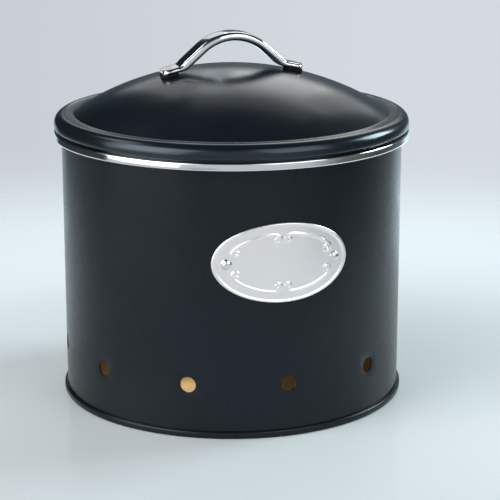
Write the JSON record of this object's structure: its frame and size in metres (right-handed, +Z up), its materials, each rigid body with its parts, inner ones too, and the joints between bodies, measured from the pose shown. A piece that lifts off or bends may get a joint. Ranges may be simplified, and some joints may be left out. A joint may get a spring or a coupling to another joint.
{
  "type": "storage canister",
  "caption": "Round black sheet-metal keeper with vents near its foot, a bright hoop at the mouth, an oval plate and a lift-off domed lid with a strap handle.",
  "frame": {"origin": "centre of the base, on the surface that the canister stands on", "axes": "+Z up along the canister's axis, -Y the front with the plate, X along the lid's handle"},
  "size_m": [0.2092, 0.2092, 0.2144],
  "materials": {
    "black_lacquer": "satin black lacquer",
    "lid_lacquer": "semi-gloss black lacquer",
    "bright_steel": "mirror polished",
    "pressed_plate": "bright satin",
    "rivet_steel": "satin",
    "black_pad": "matt"
  },
  "bodies": {
    "canister": {"body_shell": "black_lacquer", "base_pan": "black_lacquer", "rim_hoop": "bright_steel", "name_plate": "pressed_plate", "plate_rivets": "rivet_steel"},
    "lid": {"lid_shell": "lid_lacquer", "lid_collar": "lid_lacquer", "handle_pads": "black_pad", "lid_handle": "bright_steel", "handle_rivets": "rivet_steel"}
  },
  "joints": [
    {"name": "lid_lift", "type": "slide", "parent": "canister", "child": "lid", "axis": [0, 0, 1], "range_m": [0, 0.15]}
  ]
}
